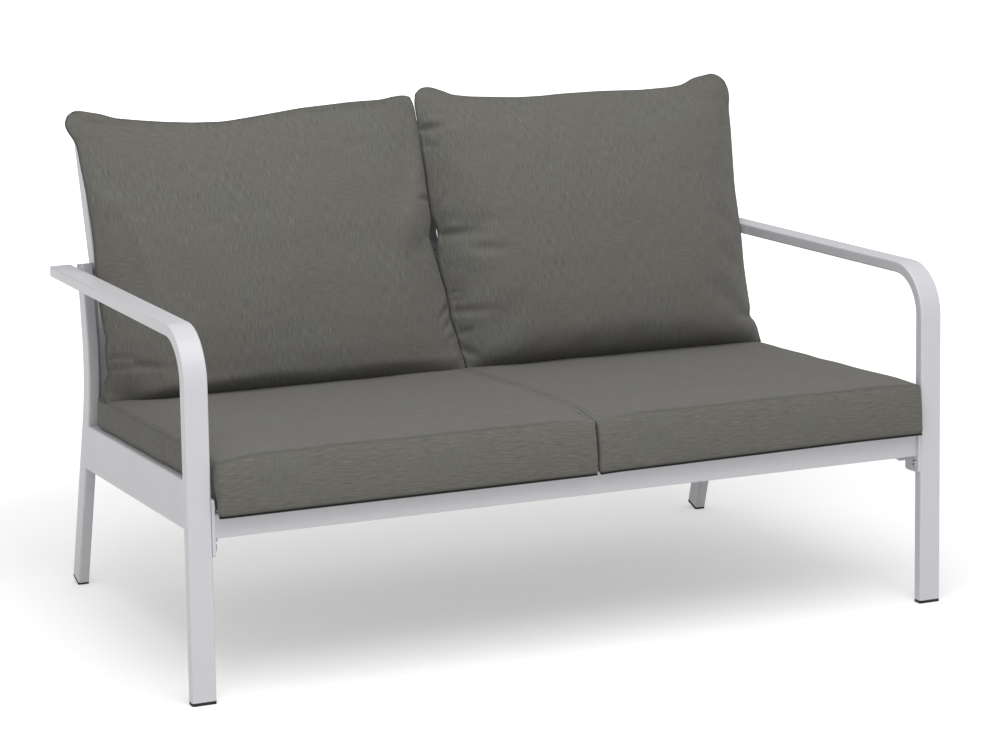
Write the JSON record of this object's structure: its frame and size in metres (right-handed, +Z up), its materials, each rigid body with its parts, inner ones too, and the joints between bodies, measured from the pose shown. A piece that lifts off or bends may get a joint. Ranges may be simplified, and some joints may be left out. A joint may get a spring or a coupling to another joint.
{
  "type": "patio loveseat",
  "caption": "Patio loveseat with a bent flat-tube aluminium frame, boxed seat cushions and loose crowned back cushions in woven outdoor fabric.",
  "frame": {"origin": "middle of the footprint, on the floor", "axes": "+X to the right seen from the front, +Y from front to rear, +Z up"},
  "size_m": [1.3, 0.8126, 0.8356],
  "materials": {
    "frame_paint": "white powder coat on aluminium tube",
    "foot_plastic": "moulded black",
    "end_plastic": "moulded white",
    "bolt_steel": "stainless",
    "nut_steel": "zinc plated",
    "spacer_nylon": "black nylon",
    "cushion_fabric": "dark warm grey slub weave",
    "cushion_filling": "foam and polyester fibre",
    "zip_coil": "nylon coil zip"
  },
  "bodies": {
    "frame": {"arm_tube_left": "frame_paint", "front_foot_left": "foot_plastic", "arm_end_plug_left": "end_plastic", "rear_leg_left": "frame_paint", "rear_foot_left": "foot_plastic", "post_cap_left": "end_plastic", "side_rail_left": "frame_paint", "front_bracket_left": "frame_paint", "back_upright_left": "frame_paint", "arm_tube_right": "frame_paint", "front_foot_right": "foot_plastic", "arm_end_plug_right": "end_plastic", "rear_leg_right": "frame_paint", "rear_foot_right": "foot_plastic", "post_cap_right": "end_plastic", "side_rail_right": "frame_paint", "front_bracket_right": "frame_paint", "back_upright_right": "frame_paint", "front_rail": "frame_paint", "rear_rail": "frame_paint", "centre_bearer": "frame_paint", "seat_slat_1": "frame_paint", "seat_slat_2": "frame_paint", "seat_slat_3": "frame_paint", "seat_slat_4": "frame_paint", "back_top_rail": "frame_paint", "back_middle_rail": "frame_paint", "back_bottom_rail": "frame_paint", "back_centre_slat_upper": "frame_paint", "back_centre_slat_lower": "frame_paint", "back_slat_upper_1": "frame_paint", "back_slat_upper_2": "frame_paint", "back_slat_upper_3": "frame_paint", "back_slat_upper_4": "frame_paint", "back_slat_lower_1": "frame_paint", "back_slat_lower_2": "frame_paint", "back_slat_lower_3": "frame_paint", "back_slat_lower_4": "frame_paint", "upright_top_plugs": "end_plastic", "upright_bottom_plugs": "end_plastic", "bracket_bolts": "bolt_steel", "arm_bolts": "bolt_steel", "leg_bolts": "bolt_steel", "rivet_nuts": "nut_steel", "frame_spacers": "spacer_nylon"},
    "seat_left_cushion": {"seat_left_cover": "cushion_fabric", "seat_left_filling": "cushion_filling", "seat_left_zip": "zip_coil"},
    "seat_right_cushion": {"seat_right_cover": "cushion_fabric", "seat_right_filling": "cushion_filling", "seat_right_zip": "zip_coil"},
    "back_left_cushion": {"back_left_cover": "cushion_fabric", "back_left_filling": "cushion_filling", "back_left_zip": "zip_coil"},
    "back_right_cushion": {"back_right_cover": "cushion_fabric", "back_right_filling": "cushion_filling", "back_right_zip": "zip_coil"}
  },
  "joints": [
    {"name": "seat_left_lift_off", "type": "slide", "parent": "frame", "child": "seat_left_cushion", "axis": [0, -0.9996, 0.0279], "range_m": [0, 0.66]},
    {"name": "seat_right_lift_off", "type": "slide", "parent": "frame", "child": "seat_right_cushion", "axis": [0, -0.9996, 0.0279], "range_m": [0, 0.66]},
    {"name": "back_left_lift_off", "type": "slide", "parent": "frame", "child": "back_left_cushion", "axis": [0, 0.3206, 0.9472], "range_m": [0, 0.56]},
    {"name": "back_right_lift_off", "type": "slide", "parent": "frame", "child": "back_right_cushion", "axis": [0, 0.3206, 0.9472], "range_m": [0, 0.56]}
  ]
}
